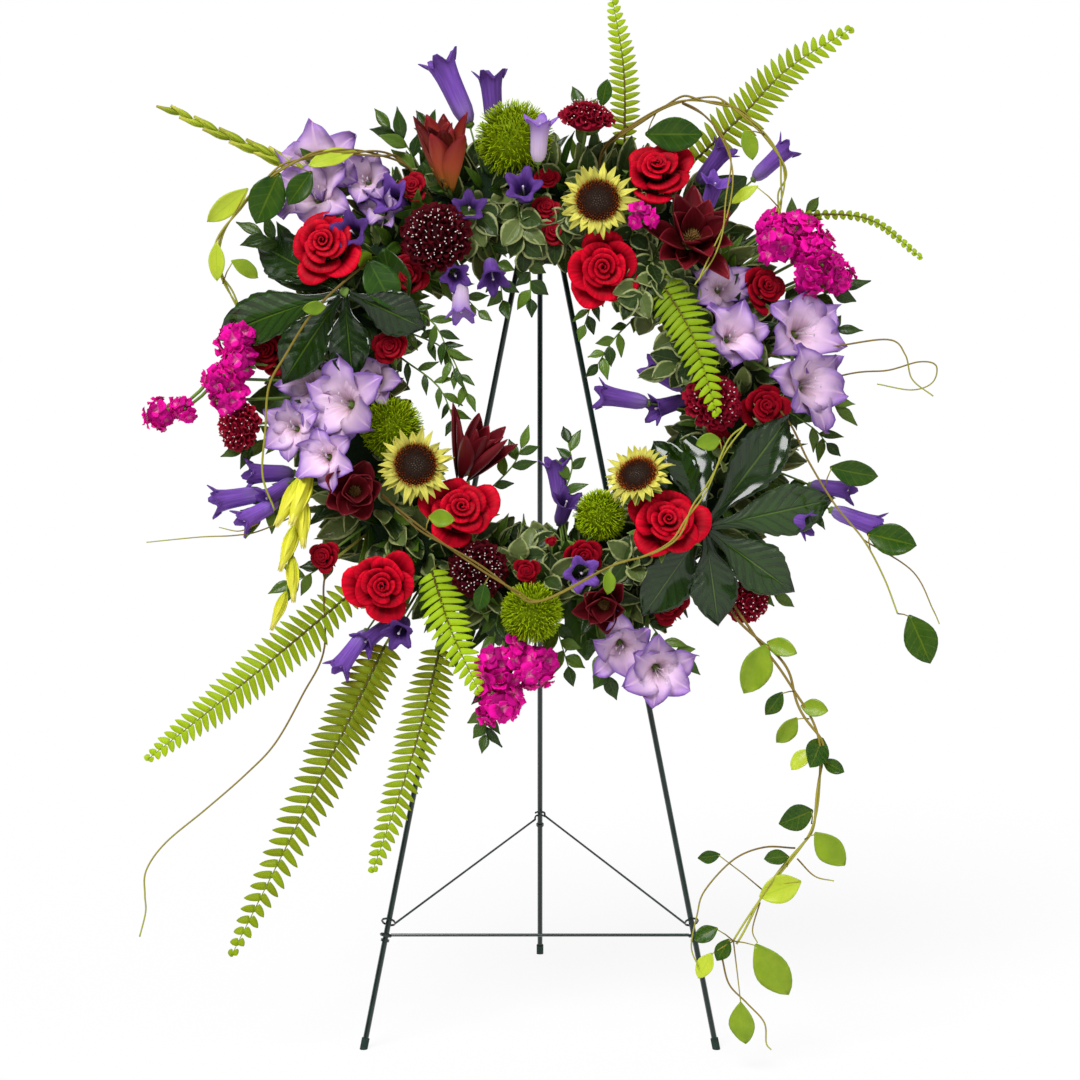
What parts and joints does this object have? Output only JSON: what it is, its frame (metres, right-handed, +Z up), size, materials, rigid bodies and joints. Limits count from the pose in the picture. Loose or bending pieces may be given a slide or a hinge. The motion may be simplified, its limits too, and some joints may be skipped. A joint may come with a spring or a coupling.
{
  "type": "funeral wreath",
  "caption": "Funeral wreath of roses, sunflowers, bellflowers, ferns and trailing vines on a foam ring, hung on a folding three-legged wire easel.",
  "frame": {"origin": "on the floor below the centre of the whole object's bounding box", "axes": "+Z up, -Y the side the flowers face, +X to the viewer's right"},
  "size_m": [0.8504, 0.491, 1.1306],
  "materials": {
    "easel_enamel": "dark green gloss enamel on steel wire",
    "foot_cap": "dark moulded cap",
    "pin_steel": "zinc plated rivet",
    "tray_plastic": "dark green moulded tray",
    "floral_foam": "wet green floral foam",
    "rose_petals": "velvety red petals",
    "spray_rose_petals": "crimson petals",
    "sunflower_petals": "lime yellow petals round a dark brown disc",
    "scabiosa_petals": "ruffled burgundy petals",
    "leucadendron_bracts": "smooth maroon bracts",
    "dianthus_heads": "fuzzy lime green heads",
    "gladiolus_petals": "lilac petals with pale throats",
    "stock_petals": "magenta petals",
    "campanula_petals": "violet bells",
    "fern_fronds": "bright yellow green fronds",
    "aralia_leaves": "glossy dark green leaves",
    "vine_leaves": "fresh green leaves on olive stems",
    "pittosporum_leaves": "grey green leaves with pale edges"
  },
  "bodies": {
    "stand_and_wreath": {"aralia_leaf_1": "aralia_leaves", "aralia_leaf_2": "aralia_leaves", "arching_vine": "vine_leaves", "campanula_1": "campanula_petals", "campanula_2": "campanula_petals", "campanula_3": "campanula_petals", "crossbar": "easel_enamel", "dianthus_1": "dianthus_heads", "dianthus_2": "dianthus_heads", "fern_frond_1": "fern_fronds", "fern_frond_2": "fern_fronds", "fern_frond_3": "fern_fronds", "fern_frond_4": "fern_fronds", "fern_frond_5": "fern_fronds", "fern_frond_6": "fern_fronds", "foam_ring": "floral_foam", "foam_tray": "tray_plastic", "foot_cap_left": "foot_cap", "foot_cap_right": "foot_cap", "front_leg_left": "easel_enamel", "front_leg_right": "easel_enamel", "gladiolus_1": "gladiolus_petals", "gladiolus_2": "gladiolus_petals", "gladiolus_3": "gladiolus_petals", "gladiolus_4": "gladiolus_petals", "hanging_stem_left": "vine_leaves", "leucadendron_1": "leucadendron_bracts", "leucadendron_2": "leucadendron_bracts", "leucadendron_3": "leucadendron_bracts", "pittosporum_1": "pittosporum_leaves", "pittosporum_2": "pittosporum_leaves", "pittosporum_3": "pittosporum_leaves", "pivot_pin": "pin_steel", "rose_1": "rose_petals", "rose_2": "rose_petals", "rose_3": "rose_petals", "rose_4": "rose_petals", "rose_5": "rose_petals", "rose_6": "rose_petals", "scabiosa_1": "scabiosa_petals", "scabiosa_2": "scabiosa_petals", "scabiosa_3": "scabiosa_petals", "spray_rose_1": "spray_rose_petals", "spray_rose_2": "spray_rose_petals", "spray_rose_3": "spray_rose_petals", "spray_rose_4": "spray_rose_petals", "stock_1": "stock_petals", "stock_2": "stock_petals", "stock_3": "stock_petals", "sunflower_1": "sunflower_petals", "sunflower_2": "sunflower_petals", "sunflower_3": "sunflower_petals", "trailing_vine_right": "vine_leaves", "trailing_vine_side": "vine_leaves"},
    "rear_leg": {"rear_leg": "easel_enamel", "foot_cap_rear": "foot_cap"},
    "braces": {"brace_left": "easel_enamel", "brace_right": "easel_enamel"}
  },
  "joints": [
    {"name": "rear_leg_fold", "type": "hinge", "parent": "stand_and_wreath", "child": "rear_leg", "pos_m": [-0.00291, 0.01516, 0.91348], "axis": [-1, 0, 0], "range_deg": [0, 21.5]},
    {"name": "brace_fold", "type": "hinge", "parent": "stand_and_wreath", "child": "braces", "pos_m": [-0.00291, -0.12551, 0.13295], "axis": [1, 0, 0], "range_deg": [0, 64.5]}
  ],
  "couplings": [
    {"joint": "brace_fold", "follows": "rear_leg_fold", "ratio": 3}
  ]
}
